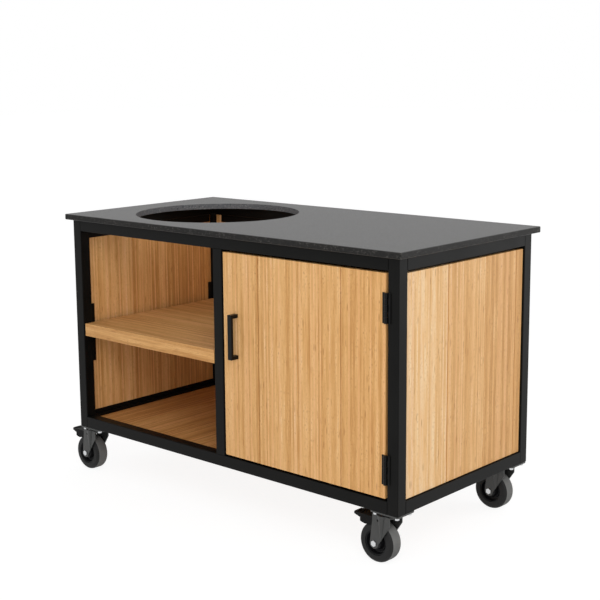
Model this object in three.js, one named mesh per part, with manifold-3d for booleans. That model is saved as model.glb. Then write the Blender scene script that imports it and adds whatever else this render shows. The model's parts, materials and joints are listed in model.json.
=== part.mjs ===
import * as THREE from 'three';
import { mergeVertices } from 'three/addons/utils/BufferGeometryUtils.js';
import Module from 'manifold-3d';

// A garden table for a ceramic grill: a welded frame of square steel tube on four braked swivel
// casters, a stone worktop with a round cut-out, bamboo panels, a grill shelf and a hung door.
// Millimetres. X runs along the table, Y from front to back, Z up from the floor.

const wasm = await Module();
wasm.setup();

// Worktop
const worktopLength = 1500;
const worktopDepth = 740;
const worktopThickness = 20;
const worktopArris = 1.5;
const worktopCorner = 3;
const overhang = 20;
const cutoutFrontMargin = 76;
const cutoutRearMargin = 84;
const cutoutLeftMargin = 116;

// Frame of square tube
const frameHeight = 763;
const tubeSide = 40;
const tubeWall = 2;
const tubeCorner = 3;

// Bamboo panels, set back in the frame
const panelThickness = 18;
const panelSetback = 6;
const panelSideGap = 2;
const panelTopGap = 3;
const grooveWidth = 2;
const grooveDepth = 1;
const stopHeight = 15;
const stopThickness = 3;
const stopGap = 0.3;
const topStopHeight = 30;
const topStopSideGap = 8;
const topStopRearGap = 32;
const sideBoardShares = [0.338, 0.321, 0.279, 0.062];
const rearBoards = 4;

// Floor of the table
const floorThickness = 18;
const floorDrop = 9;
const floorBoards = 8;
const ledgeWidth = 25;
const ledgeThickness = 4;
const gussetThickness = 5;

// Grill shelf in the open bay and the two steel brackets that carry it
const shelfThickness = 45;
const shelfTopDrop = 375;
const shelfFrontSetback = 3;
const shelfSideGap = 4;
const shelfFrontBoard = 408;
const shelfJointGap = 0.4;
const bracketPlateWidth = 20;
const bracketPlateThickness = 5;
const bracketPlateAbove = 64;
const bracketPlateBelow = 102;
const angleLeg = 40;
const angleThickness = 4;
const weldBite = 1;

// Door of the closed bay
const doorThickness = 20;
const doorGap = 7;
const doorBoardWidth = 168;
const handleLength = 146;
const handleWidth = 17;
const handleThickness = 10;
const handleFootHeight = 12;
const handleStandoff = 22;
const handleFromDoorEdge = 47;
const handleTopDrop = 194;

// Door hinges, with the barrel in front of the frame
const hingeHeight = 90;
const hingeUpperDrop = 100;
const hingeLowerRise = 89;
const hingeLeafWidth = 9;
const hingePostLeafWidth = 10;
const hingeLeafThickness = 3;
const hingeBarrelRadius = 5;
const hingePinRadius = 3;
const hingePinClearance = 0.3;
const hingeKnuckles = 5;
const knuckleGap = 0.4;
const hingeFaceClearance = 1;

// Swivel casters with brake pedals
const casterHeight = 168;
const plateLength = 105;
const plateWidth = 85;
const plateThickness = 5;
const plateCorner = 8;
const plateHoleRadius = 4.5;
const plateHoleInset = 12.5;
const raceDepth = 8;
const raceTopRadius = 33;
const raceBottomRadius = 29;
const swivelGap = 0.4;
const kingpinRadius = 6;
const kingpinHeadRadius = 10;
const kingpinHeadThickness = 5;
const wheelTrail = 43;
const wheelRadius = 62.5;
const tyreWidth = 50;
const tyreDepth = 23;
const tyreShoulder = 12;
const rimThickness = 4;
const rimWidth = 46;
const hubRadius = 19;
const hubWidth = 56;
const webThickness = 10;
const fitGap = 0.3;
const legInside = 28.8;
const legThickness = 3.6;
const crownThickness = 4.6;
const crownRear = 50;
const crownRadius = 33;
const crownDrop = 14;
const legFront = 14;
const legFrontDrop = 26;
const axleBossRadius = 16;
const ridgeOffset = 17;
const ridgeRadius = 13;
const ridgeDepth = 7;
const ridgeTip = 2;
const ridgeEndRise = 14;
const axleRadius = 6;
const axleHeadRadius = 10;
const axleHeadThickness = 4;

// Brake pedal: its outlines are measured back from the swivel axis and up from the floor
const pedalWidth = 56.8;
const pedalFlange = 2.2;
const pedalTipWidth = 36;
const pedalPivotBack = 28;
const pedalPivotHeight = 138;
const pedalPinRadius = 4;
const pedalPinHead = 2;
const pedalInnerEnd = 22;
const pedalTop = 143.5;
const pedalWebBottom = 132;
const pedalShoeStart = 62;
const pedalShoeEnd = 80;
const pedalShoeHeight = 129;
const pedalTaperStart = 94;
const pedalFlangeFront = 102;
const pedalFlangeCorner = 118;
const pedalFlangeLow = 114;
const pedalKneeHeight = 129;
const pedalReach = 131;
const pedalTipTop = 139;
const pedalTipHeight = 7;
const treadRibs = 4;
const treadRibWidth = 2.5;
const treadRibLength = 32;
const treadRibHeight = 1.5;
const ribPitch = 8;

// Facet counts
const cutoutFacets = 56;
const wheelFacets = 30;
const raceFacets = 20;
const boreFacets = 16;
const smallFacets = 12;
const hexagon = 6;

// One overrun for every cut
const overrun = 1;

// Places worked out from the sizes above
const frameX = worktopLength / 2 - overhang;
const frameY = worktopDepth / 2 - overhang;
const innerX = frameX - tubeSide;
const innerY = frameY - tubeSide;
const frameBottom = casterHeight;
const frameTop = frameBottom + frameHeight;
const lowerRailTop = frameBottom + tubeSide;
const upperRailBottom = frameTop - tubeSide;
const floorTop = lowerRailTop - floorDrop;
const floorBottom = floorTop - floorThickness;
const shelfTop = frameTop - shelfTopDrop;
const shelfBottom = shelfTop - shelfThickness;
const postHalf = tubeSide / 2;

// Materials
const stone = new THREE.MeshStandardMaterial({ color: 0x6f6d6b, roughness: 0.75, metalness: 0 });
const steel = new THREE.MeshStandardMaterial({ color: 0x262524, roughness: 0.55, metalness: 0.2 });
const bamboo = new THREE.MeshStandardMaterial({ color: 0xd8a66c, roughness: 0.6, metalness: 0 });
const blackSteel = new THREE.MeshStandardMaterial({ color: 0x161616, roughness: 0.5, metalness: 0.3 });
const pressedSteel = new THREE.MeshStandardMaterial({ color: 0x3a3b3a, roughness: 0.45, metalness: 0.3 });
const wheelPlastic = new THREE.MeshStandardMaterial({ color: 0x1b1b1c, roughness: 0.6, metalness: 0 });
const tyreRubber = new THREE.MeshStandardMaterial({ color: 0x55565a, roughness: 0.8, metalness: 0 });
const zinc = new THREE.MeshStandardMaterial({ color: 0xcfd0d0, roughness: 0.3, metalness: 0.9 });

// Turns a three.js geometry into a manifold solid
function solidOf(geometry) {
  const bare = geometry.clone();
  bare.deleteAttribute('normal');
  bare.deleteAttribute('uv');
  const welded = mergeVertices(bare);
  const triVerts = new Uint32Array(welded.index.array);
  const vertProperties = new Float32Array(welded.attributes.position.array);
  return new wasm.Manifold(new wasm.Mesh({ numProp: 3, vertProperties, triVerts }));
}

// Turns a manifold solid back into a geometry with flat shaded faces
function geometryOf(solid) {
  const mesh = solid.getMesh();
  const geometry = new THREE.BufferGeometry();
  geometry.setAttribute('position', new THREE.BufferAttribute(mesh.vertProperties, mesh.numProp));
  geometry.setIndex(new THREE.BufferAttribute(mesh.triVerts, 1));
  geometry.computeVertexNormals();
  return geometry;
}

// A block between two corners
function block(low, high) {
  const [width, depth, height] = [0, 1, 2].map((axis) => high[axis] - low[axis]);
  const geometry = new THREE.BoxGeometry(width, depth, height);
  geometry.translate(low[0] + width / 2, low[1] + depth / 2, low[2] + height / 2);
  return geometry;
}

// The radius that puts a faceted circle's flats at the asked radius
function overFlats(radius, facets) {
  return radius / Math.cos(Math.PI / facets);
}

// A round bar along Z or along Y, centred on its own length
function uprightBar(radius, length, facets) {
  return new THREE.CylinderGeometry(radius, radius, length, facets).rotateX(Math.PI / 2);
}

function crossBar(radius, length, facets) {
  return new THREE.CylinderGeometry(radius, radius, length, facets);
}

function roundedRectangle(width, depth, radius) {
  const [x, y] = [width / 2, depth / 2];
  const shape = new THREE.Shape();
  shape.absarc(x - radius, y - radius, radius, 0, Math.PI / 2);
  shape.absarc(radius - x, y - radius, radius, Math.PI / 2, Math.PI);
  shape.absarc(radius - x, radius - y, radius, Math.PI, 1.5 * Math.PI);
  shape.absarc(x - radius, radius - y, radius, 1.5 * Math.PI, 2 * Math.PI);
  shape.closePath();
  return shape;
}

function circle(x, y, radius, facets) {
  const points = [];
  for (let step = 0; step < facets; step += 1) {
    const angle = (2 * Math.PI * step) / facets;
    points.push(new THREE.Vector2(x + radius * Math.cos(angle), y + radius * Math.sin(angle)));
  }
  return points;
}

function extruded(shape, depth, curveSegments = 1) {
  return new THREE.ExtrudeGeometry(shape, { depth, curveSegments, bevelEnabled: false });
}

// Everything is named once here and hangs in one group
const table = new THREE.Group();

function add(name, geometry, material, place = [0, 0, 0], parent = table) {
  const mesh = new THREE.Mesh(geometry, material);
  mesh.name = name;
  mesh.position.set(...place);
  parent.add(mesh);
  return mesh;
}

// Stone worktop with a round cut-out and eased edges
function worktop() {
  const shape = roundedRectangle(worktopLength, worktopDepth, worktopCorner);
  const radius = (worktopDepth - cutoutFrontMargin - cutoutRearMargin) / 2;
  const centreX = cutoutLeftMargin + radius - worktopLength / 2;
  const centreY = cutoutFrontMargin + radius - worktopDepth / 2;
  const hole = circle(centreX, centreY, overFlats(radius, cutoutFacets), cutoutFacets);
  shape.holes.push(new THREE.Path(hole));
  const geometry = new THREE.ExtrudeGeometry(shape, {
    depth: worktopThickness - 2 * worktopArris,
    curveSegments: 1,
    bevelThickness: worktopArris,
    bevelSize: worktopArris,
    bevelOffset: -worktopArris,
    bevelSegments: 1,
  });
  return geometry.translate(0, 0, worktopArris);
}

// Square tube along Z, from its own lower end
function squareTube(length) {
  const shape = roundedRectangle(tubeSide, tubeSide, tubeCorner);
  const bore = tubeSide / 2 - tubeWall;
  const corners = [[-bore, -bore], [-bore, bore], [bore, bore], [bore, -bore]];
  shape.holes.push(new THREE.Path(corners.map(([x, y]) => new THREE.Vector2(x, y))));
  return extruded(shape, length);
}

function tubeAlongX(length) {
  return squareTube(length).translate(0, 0, -length / 2).rotateY(Math.PI / 2);
}

function tubeAlongY(length) {
  return squareTube(length).translate(0, 0, -length / 2).rotateX(Math.PI / 2);
}

// How far the panels' inner faces and the stop strips behind them lie inside the frame's faces
const stopNear = panelSetback + panelThickness + stopGap - postHalf;
const stopFar = stopNear + stopThickness;

// The strips rise from the lower rails and hang from the upper ones
const stopSpan = {
  lower: [postHalf - weldBite, postHalf + stopHeight],
  upper: [-postHalf - topStopHeight, weldBite - postHalf],
};

// A rear rail with a strip in each bay that stops the rear panels
function rearRail(level, endGap) {
  const [low, high] = stopSpan[level];
  let rail = solidOf(tubeAlongX(2 * innerX));
  for (const [left, right] of [[-innerX, -postHalf], [postHalf, innerX]]) {
    const strip = block([left + endGap, -stopFar, low], [right - endGap, -stopNear, high]);
    rail = rail.add(solidOf(strip));
  }
  return rail;
}

// A side rail with the strip that stops its panel
function sideRail(side, level, endGap) {
  const [low, high] = stopSpan[level];
  const [near, far] = [-side * stopNear, -side * stopFar].sort((a, b) => a - b);
  const reach = innerY - endGap;
  return solidOf(tubeAlongY(2 * innerY)).add(solidOf(block([near, -reach, low], [far, reach, high])));
}

// A lower side rail with the two corner gussets that the caster plates bolt to
function railWithGussets(side) {
  let rail = sideRail(side, 'lower', 0);
  for (const end of [-1, 1]) {
    const reach = plateLength - tubeSide;
    const xs = [-side * (postHalf - weldBite), -side * (postHalf + reach)].sort((a, b) => a - b);
    const ys = [end * innerY, end * (innerY - (plateWidth - tubeSide))].sort((a, b) => a - b);
    const low = [xs[0], ys[0], -postHalf];
    const high = [xs[1], ys[1], gussetThickness - postHalf];
    rail = rail.add(solidOf(block(low, high)));
  }
  return geometryOf(rail);
}

function buildFrame() {
  const cornerX = frameX - postHalf;
  const cornerY = frameY - postHalf;
  for (const [endName, x] of [['left', -cornerX], ['right', cornerX]]) {
    add(`post_front_${endName}`, squareTube(frameHeight), steel, [x, -cornerY, frameBottom]);
    add(`post_rear_${endName}`, squareTube(frameHeight), steel, [x, cornerY, frameBottom]);
  }
  const middleHeight = upperRailBottom - lowerRailTop;
  add('post_front_middle', squareTube(middleHeight), steel, [0, -cornerY, lowerRailTop]);
  add('post_rear_middle', squareTube(middleHeight), steel, [0, cornerY, lowerRailTop]);
  const topZ = frameTop - postHalf;
  const bottomZ = frameBottom + postHalf;
  add('rail_top_front', tubeAlongX(2 * innerX), steel, [0, -cornerY, topZ]);
  add('rail_top_rear', geometryOf(rearRail('upper', topStopRearGap)), steel, [0, cornerY, topZ]);
  add('rail_top_left', geometryOf(sideRail(-1, 'upper', topStopSideGap)), steel, [-cornerX, 0, topZ]);
  add('rail_top_right', geometryOf(sideRail(1, 'upper', topStopSideGap)), steel, [cornerX, 0, topZ]);
  add('rail_top_middle', tubeAlongY(2 * innerY), steel, [0, 0, topZ]);
  add('rail_bottom_front', tubeAlongX(2 * innerX), steel, [0, -cornerY, bottomZ]);
  add('rail_bottom_rear', geometryOf(rearRail('lower', 0)), steel, [0, cornerY, bottomZ]);
  add('rail_bottom_left', railWithGussets(-1), steel, [-cornerX, 0, bottomZ]);
  add('rail_bottom_right', railWithGussets(1), steel, [cornerX, 0, bottomZ]);
}

// A panel of boards standing edge to edge, with a vee groove on both faces at each joint.
// Its length runs along X and its thickness along Y, both centred, and it stands on Z zero.
function boardedPanel(length, thickness, height, joints) {
  const half = thickness / 2;
  const notches = joints.map((joint) => joint - length / 2);
  const outline = [[-length / 2, -half]];
  for (const x of notches) {
    outline.push([x - grooveWidth / 2, -half], [x, grooveDepth - half], [x + grooveWidth / 2, -half]);
  }
  outline.push([length / 2, -half], [length / 2, half]);
  for (const x of [...notches].reverse()) {
    outline.push([x + grooveWidth / 2, half], [x, half - grooveDepth], [x - grooveWidth / 2, half]);
  }
  outline.push([-length / 2, half]);
  return extruded(new THREE.Shape(outline.map(([x, y]) => new THREE.Vector2(x, y))), height);
}

function evenJoints(length, boards) {
  return Array.from({ length: boards - 1 }, (_, index) => ((index + 1) * length) / boards);
}

function sharedJoints(length, boardShares) {
  const joints = [];
  let place = 0;
  for (const share of boardShares.slice(0, -1)) {
    place += share * length;
    joints.push(place);
  }
  return joints;
}

function buildPanels() {
  const height = upperRailBottom - panelTopGap - lowerRailTop;
  const depth = 2 * (innerY - panelSideGap);
  const sideX = frameX - panelSetback - panelThickness / 2;
  const sideJoints = sharedJoints(depth, sideBoardShares);
  const side = boardedPanel(depth, panelThickness, height, sideJoints).rotateZ(Math.PI / 2);
  add('panel_left', side, bamboo, [-sideX, 0, lowerRailTop]);
  add('panel_right', side.clone(), bamboo, [sideX, 0, lowerRailTop]);
  const bayWidth = innerX - postHalf;
  const width = bayWidth - 2 * panelSideGap;
  const bayX = postHalf + bayWidth / 2;
  const rearY = frameY - panelSetback - panelThickness / 2;
  const rear = boardedPanel(width, panelThickness, height, evenJoints(width, rearBoards));
  add('panel_rear_left', rear, bamboo, [-bayX, rearY, lowerRailTop]);
  add('panel_rear_right', rear.clone(), bamboo, [bayX, rearY, lowerRailTop]);
  const dividerHeight = upperRailBottom - panelTopGap - floorTop;
  const divider = boardedPanel(depth, panelThickness, dividerHeight, sideJoints);
  const dividerX = postHalf - panelSetback - panelThickness / 2;
  add('panel_divider', divider.rotateZ(Math.PI / 2), bamboo, [dividerX, 0, floorTop]);
}

// The floor lies on a steel ledge at the front and one at the rear; its boards run front to back
function buildFloor() {
  const length = 2 * (innerX - panelSideGap);
  const depth = 2 * (innerY - panelSideGap);
  const boards = boardedPanel(length, floorThickness, depth, evenJoints(length, floorBoards));
  boards.translate(0, 0, -depth / 2).rotateX(Math.PI / 2);
  add('floor_panel', boards, bamboo, [0, 0, floorTop - floorThickness / 2]);
  const ledge = new THREE.BoxGeometry(2 * innerX, ledgeWidth, ledgeThickness);
  const ledgeY = innerY - ledgeWidth / 2;
  const ledgeZ = floorBottom - ledgeThickness / 2;
  add('floor_ledge_front', ledge, steel, [0, -ledgeY, ledgeZ]);
  add('floor_ledge_rear', ledge.clone(), steel, [0, ledgeY, ledgeZ]);
}

// A shelf bracket: an angle from front to back with an upright plate at each post.
// Its outer face is at X zero, its inner side towards plus X, and the shelf rests at Z zero.
function shelfBracket() {
  const plateFace = bracketPlateThickness - weldBite;
  const legHigh = [plateFace + angleThickness, innerY, angleLeg - angleThickness];
  const legLow = [plateFace, -innerY, -angleThickness];
  const footHigh = [plateFace + angleLeg, innerY, 0];
  let bracket = solidOf(block(legLow, legHigh)).add(solidOf(block(legLow, footHigh)));
  for (const end of [-1, 1]) {
    const ys = [end * innerY, end * (innerY - bracketPlateWidth)].sort((a, b) => a - b);
    const low = [0, ys[0], -bracketPlateBelow];
    const high = [bracketPlateThickness, ys[1], shelfThickness + bracketPlateAbove];
    bracket = bracket.add(solidOf(block(low, high)));
  }
  return bracket;
}

function buildShelf() {
  const left = -innerX + shelfSideGap;
  const right = -postHalf - shelfSideGap;
  const front = -frameY + shelfFrontSetback;
  const joint = front + shelfFrontBoard;
  const rear = frameY - panelSetback - panelThickness - panelSideGap;
  const frontBoard = block([left, front, shelfBottom], [right, joint, shelfTop]);
  const rearBoard = block([left, joint + shelfJointGap, shelfBottom], [right, rear, shelfTop]);
  add('shelf_board_front', frontBoard, bamboo);
  add('shelf_board_rear', rearBoard, bamboo);
  const bracket = shelfBracket();
  const wall = -frameX + panelSetback + panelThickness;
  const divider = postHalf - panelSetback - panelThickness;
  add('shelf_bracket_left', geometryOf(bracket), steel, [wall, 0, shelfBottom]);
  const mirrored = geometryOf(bracket.mirror([1, 0, 0]));
  add('shelf_bracket_right', mirrored, steel, [divider, 0, shelfBottom]);
}

// Door panel: full boards from the hinge side, and the last board ripped narrower
function doorPanel(width, height) {
  const joints = [];
  for (let x = width - doorBoardWidth; x > 0; x -= doorBoardWidth) {
    joints.unshift(x);
  }
  return boardedPanel(width, doorThickness, height, joints);
}

// Flat bar handle with a foot at each end, its feet on Y zero
function doorHandle() {
  const half = handleWidth / 2;
  const reach = handleStandoff + handleThickness;
  const whole = solidOf(block([-half, -reach, 0], [half, 0, handleLength]));
  const fingers = block(
    [-half - overrun, -handleStandoff, handleFootHeight],
    [half + overrun, overrun, handleLength - handleFootHeight],
  );
  return geometryOf(whole.subtract(solidOf(fingers)));
}

// Both halves of a hinge about its own pin, with the barrel in front of the gap. The post half
// holds knuckles 1, 3 and 5 on the pin; the door half turns on knuckles 2 and 4.
function hingeHalves(barrelForward) {
  const pitch = hingeHeight / hingeKnuckles;
  const knuckleLength = pitch - knuckleGap;
  const leafHalf = (hingeHeight - knuckleGap) / 2;
  const near = hingeBarrelRadius;
  const [leafFront, leafBack] = [barrelForward - hingeLeafThickness, barrelForward];
  const [armFront, armBack] = [-hingeBarrelRadius / 2, barrelForward - hingeFaceClearance];
  const postLeaf = block([near, leafFront, -leafHalf], [near + hingePostLeafWidth, leafBack, leafHalf]);
  const doorLeaf = block([-near - hingeLeafWidth, leafFront, -leafHalf], [-near, leafBack, leafHalf]);
  let post = solidOf(uprightBar(hingePinRadius, 2 * leafHalf, smallFacets)).add(solidOf(postLeaf));
  let leaf = solidOf(doorLeaf);
  for (let index = 0; index < hingeKnuckles; index += 1) {
    const z = pitch * (index + 0.5) - hingeHeight / 2;
    const knuckle = solidOf(uprightBar(hingeBarrelRadius, knuckleLength, smallFacets).translate(0, 0, z));
    const [low, high] = [z - knuckleLength / 2, z + knuckleLength / 2];
    if (index % 2 === 0) {
      const arm = block([0, armFront, low], [near + weldBite, armBack, high]);
      post = post.add(knuckle).add(solidOf(arm));
    } else {
      const arm = block([-near - weldBite, armFront, low], [0, armBack, high]);
      leaf = leaf.add(knuckle).add(solidOf(arm));
    }
  }
  const boreRadius = overFlats(hingePinRadius + hingePinClearance, smallFacets);
  const bore = solidOf(uprightBar(boreRadius, hingeHeight + overrun, smallFacets));
  return { post: geometryOf(post), leaf: geometryOf(leaf.subtract(bore)) };
}

function buildDoor() {
  const width = innerX - postHalf - 2 * doorGap;
  const height = upperRailBottom - lowerRailTop - 2 * doorGap;
  const doorX = postHalf + doorGap;
  const doorZ = lowerRailTop + doorGap;
  const doorTop = doorZ + height;
  const front = -frameY;
  add('door_panel', doorPanel(width, height), bamboo, [doorX + width / 2, front + doorThickness / 2, doorZ]);
  const handleZ = doorTop - handleTopDrop - handleLength;
  const handleX = doorX + handleFromDoorEdge + handleWidth / 2;
  add('door_handle', doorHandle(), blackSteel, [handleX, front, handleZ]);
  const barrelForward = hingeBarrelRadius + hingeFaceClearance / 2;
  const barrelX = innerX - doorGap / 2;
  const heights = { upper: doorTop - hingeUpperDrop, lower: doorZ + hingeLowerRise };
  for (const [name, z] of Object.entries(heights)) {
    const halves = hingeHalves(barrelForward);
    add(`hinge_${name}_knuckles`, halves.post, blackSteel, [barrelX, front - barrelForward, z]);
    add(`hinge_${name}_leaf`, halves.leaf, blackSteel, [barrelX, front - barrelForward, z]);
  }
}

// Caster heights, from the floor
const raceBottom = casterHeight - plateThickness - raceDepth;
const crownTop = raceBottom - swivelGap;
const crownBottom = crownTop - crownThickness;
const legOutside = legInside + legThickness;

// Top plate with its bolt holes, the pressed ball race under it and the kingpin rivet
function casterPlate() {
  const shape = roundedRectangle(plateLength, plateWidth, plateCorner);
  for (const x of [-1, 1]) {
    for (const y of [-1, 1]) {
      const centreX = x * (plateLength / 2 - plateHoleInset);
      const centreY = y * (plateWidth / 2 - plateHoleInset);
      shape.holes.push(new THREE.Path(circle(centreX, centreY, plateHoleRadius, smallFacets)));
    }
  }
  const plate = extruded(shape, plateThickness, 2).translate(0, 0, casterHeight - plateThickness);
  const race = new THREE.CylinderGeometry(raceTopRadius, raceBottomRadius, raceDepth + weldBite, raceFacets);
  race.rotateX(Math.PI / 2).translate(0, 0, raceBottom + (raceDepth + weldBite) / 2);
  const headTop = crownBottom - swivelGap;
  const pinLength = raceBottom + weldBite - headTop + weldBite;
  const pin = uprightBar(kingpinRadius, pinLength, boreFacets);
  pin.translate(0, 0, headTop - weldBite + pinLength / 2);
  const head = uprightBar(kingpinHeadRadius, kingpinHeadThickness, boreFacets);
  head.translate(0, 0, headTop - kingpinHeadThickness / 2);
  const parts = [race, pin, head].map(solidOf);
  return geometryOf(parts.reduce((whole, part) => whole.add(part), solidOf(plate)));
}

// One cheek of the fork, drawn in the plane of the wheel, from the crown down round the axle
function cheekOutline() {
  const shape = new THREE.Shape();
  shape.moveTo(-crownRear, crownTop);
  shape.lineTo(-crownRear, crownBottom - crownDrop);
  shape.absarc(-wheelTrail, wheelRadius, axleBossRadius, Math.PI, 2 * Math.PI);
  shape.lineTo(legFront, crownBottom - legFrontDrop);
  shape.lineTo(legFront, crownTop);
  shape.closePath();
  return shape;
}

// Pressed steel fork: two cheeks with a tapered ridge, joined by the round crown on the kingpin
function casterFork() {
  const cheeks = extruded(cheekOutline(), 2 * legOutside, 4).rotateX(Math.PI / 2).translate(0, legOutside, 0);
  const crown = uprightBar(crownRadius, crownThickness, boreFacets);
  crown.translate(0, 0, crownBottom + crownThickness / 2);
  let fork = solidOf(cheeks).add(solidOf(crown));
  const ridgeBottom = wheelRadius + ridgeEndRise;
  const ridgeLength = crownTop - ridgeBottom;
  const cone = new THREE.CylinderGeometry(ridgeRadius, ridgeTip, ridgeLength, smallFacets);
  cone.rotateX(Math.PI / 2).scale(1, ridgeDepth / ridgeRadius, 1);
  for (const side of [-1, 1]) {
    const ridge = cone.clone().translate(-ridgeOffset, side * legOutside, ridgeBottom + ridgeLength / 2);
    fork = fork.add(solidOf(ridge));
  }
  const spanX = wheelTrail + plateLength;
  const between = block([-spanX, -legInside, -overrun], [spanX, legInside, crownBottom]);
  const bores = [
    [uprightBar(overFlats(kingpinRadius + fitGap, boreFacets), casterHeight, boreFacets), [0, 0, casterHeight]],
    [crossBar(overFlats(axleRadius + fitGap, boreFacets), plateLength, boreFacets), [-wheelTrail, 0, wheelRadius]],
    [
      crossBar(overFlats(pedalPinRadius + fitGap, boreFacets), plateLength, boreFacets),
      [-pedalPivotBack, 0, pedalPivotHeight],
    ],
  ];
  fork = fork.subtract(solidOf(between));
  for (const [bore, place] of bores) {
    fork = fork.subtract(solidOf(bore.translate(...place)));
  }
  return geometryOf(fork);
}

// Wheels are turned with a flat of their facets at the floor
function turned(profile) {
  const scale = overFlats(1, wheelFacets);
  const points = [...profile, profile[0]].map(([radius, y]) => new THREE.Vector2(radius * scale, y));
  return geometryOf(solidOf(new THREE.LatheGeometry(points, wheelFacets, Math.PI / wheelFacets)));
}

function wheelCore() {
  const rimOuter = wheelRadius - tyreDepth;
  const rimInner = rimOuter - rimThickness;
  const bore = axleRadius + fitGap;
  const [hub, web, rim] = [hubWidth / 2, webThickness / 2, rimWidth / 2];
  return turned([
    [bore, -hub], [hubRadius, -hub], [hubRadius, -web], [rimInner, -web], [rimInner, -rim],
    [rimOuter, -rim], [rimOuter, rim], [rimInner, rim], [rimInner, web], [hubRadius, web],
    [hubRadius, hub], [bore, hub],
  ]);
}

function tyre() {
  const inner = wheelRadius - tyreDepth + fitGap;
  const half = tyreWidth / 2;
  const profile = [[inner, -half]];
  for (const side of [-1, 1]) {
    for (let step = 0; step <= 3; step += 1) {
      const turn = ((side < 0 ? step : 3 - step) * Math.PI) / 6;
      const radius = wheelRadius - tyreShoulder + tyreShoulder * Math.sin(turn);
      profile.push([radius, side * (half - tyreShoulder + tyreShoulder * Math.cos(turn))]);
    }
  }
  profile.push([inner, half]);
  return turned(profile);
}

// Axle bolt through both cheeks, with a hexagon head and nut outside them
function axleBolt() {
  let bolt = solidOf(crossBar(axleRadius, 2 * (legOutside + axleHeadThickness), smallFacets));
  for (const side of [-1, 1]) {
    const head = crossBar(axleHeadRadius, axleHeadThickness, hexagon);
    bolt = bolt.add(solidOf(head.translate(0, side * (legOutside + axleHeadThickness / 2), 0)));
  }
  return geometryOf(bolt);
}

// A side view outline of the pedal, given as distances back from the swivel axis and heights
function sideOutline(points) {
  return new THREE.Shape(points.map(([back, z]) => new THREE.Vector2(-back, z)));
}

// The pressed channel of the pedal: a top that slopes to the tip and a flange on both sides
function pedalBody() {
  const side = sideOutline([
    [pedalInnerEnd, pedalTop], [pedalInnerEnd, pedalWebBottom], [pedalShoeStart, pedalFlangeCorner],
    [pedalShoeEnd, pedalFlangeLow], [pedalFlangeFront, pedalFlangeCorner], [pedalFlangeFront, pedalKneeHeight],
    [pedalReach, pedalTipTop - pedalTipHeight], [pedalReach, pedalTipTop], [pedalTaperStart, pedalTop],
  ]);
  const lifted = extruded(side, pedalWidth).rotateX(Math.PI / 2).translate(0, pedalWidth / 2, 0);
  const [half, tip] = [pedalWidth / 2, pedalTipWidth / 2];
  const plan = new THREE.Shape([
    new THREE.Vector2(0, -half), new THREE.Vector2(0, half), new THREE.Vector2(-pedalTaperStart, half),
    new THREE.Vector2(-pedalReach, tip), new THREE.Vector2(-pedalReach, -tip),
    new THREE.Vector2(-pedalTaperStart, -half),
  ]);
  const inside = pedalWidth - 2 * pedalFlange;
  const hollow = sideOutline([
    [pedalInnerEnd - overrun, 0], [pedalInnerEnd - overrun, pedalWebBottom], [pedalShoeStart, pedalShoeHeight],
    [pedalShoeEnd, pedalShoeHeight], [pedalTaperStart, pedalWebBottom],
    [pedalFlangeFront - pedalFlange, pedalWebBottom], [pedalFlangeFront - pedalFlange, 0],
  ]);
  const channel = extruded(hollow, inside).rotateX(Math.PI / 2).translate(0, inside / 2, 0);
  return solidOf(lifted).intersect(solidOf(extruded(plan, casterHeight))).subtract(solidOf(channel));
}

// Brake pedal with its shoe over the tyre, a ribbed tread and its own pivot pin
function brakePedal() {
  let pedal = pedalBody();
  const slope = Math.atan2(pedalTop - pedalTipTop, pedalReach - pedalTaperStart);
  for (let index = 0; index < treadRibs; index += 1) {
    const rib = new THREE.BoxGeometry(treadRibWidth, treadRibLength, 2 * treadRibHeight);
    const back = pedalReach - treadRibWidth - ribPitch * index;
    const z = pedalTipTop + (pedalReach - back) * Math.tan(slope);
    pedal = pedal.add(solidOf(rib.rotateY(-slope).translate(-back, 0, z)));
  }
  const pinLength = 2 * (legOutside + pedalPinHead);
  const pin = crossBar(pedalPinRadius, pinLength, smallFacets);
  return geometryOf(pedal.add(solidOf(pin.translate(-pedalPivotBack, 0, pedalPivotHeight))));
}

function buildCasters() {
  const insetX = frameX - plateLength / 2;
  const insetY = frameY - plateWidth / 2;
  const corners = {
    front_left: [-insetX, -insetY],
    front_right: [insetX, -insetY],
    rear_left: [-insetX, insetY],
    rear_right: [insetX, insetY],
  };
  for (const [corner, [x, y]] of Object.entries(corners)) {
    const caster = new THREE.Group();
    caster.position.set(x, y, 0);
    table.add(caster);
    const axle = [-wheelTrail, 0, wheelRadius];
    add(`caster_${corner}_plate`, casterPlate(), pressedSteel, [0, 0, 0], caster);
    add(`caster_${corner}_fork`, casterFork(), pressedSteel, [0, 0, 0], caster);
    add(`caster_${corner}_wheel`, wheelCore(), wheelPlastic, axle, caster);
    add(`caster_${corner}_tyre`, tyre(), tyreRubber, axle, caster);
    add(`caster_${corner}_axle`, axleBolt(), zinc, axle, caster);
    add(`caster_${corner}_pedal`, brakePedal(), blackSteel, [0, 0, 0], caster);
  }
}

add('worktop', worktop(), stone, [0, 0, frameTop]);
buildFrame();
buildPanels();
buildFloor();
buildShelf();
buildDoor();
buildCasters();

// The origin is the middle of the object's bounding box, on the floor
const bounds = new THREE.Box3().setFromObject(table);
const middle = bounds.getCenter(new THREE.Vector3());
table.position.set(-middle.x, -middle.y, 0);

export default table;
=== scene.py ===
# %% [markdown]
# # A garden table for a ceramic grill
# The table is a welded frame of black square tube on four braked casters. A stone slab with a
# round cut-out lies on it, bamboo panels close its sides, and a bamboo door hangs at the right.
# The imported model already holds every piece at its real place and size, so this lesson loads it
# first, keeps its box, and then dresses it: finer shapes where light catches them, and materials.

# %% Load the frame
import json
import math

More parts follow.
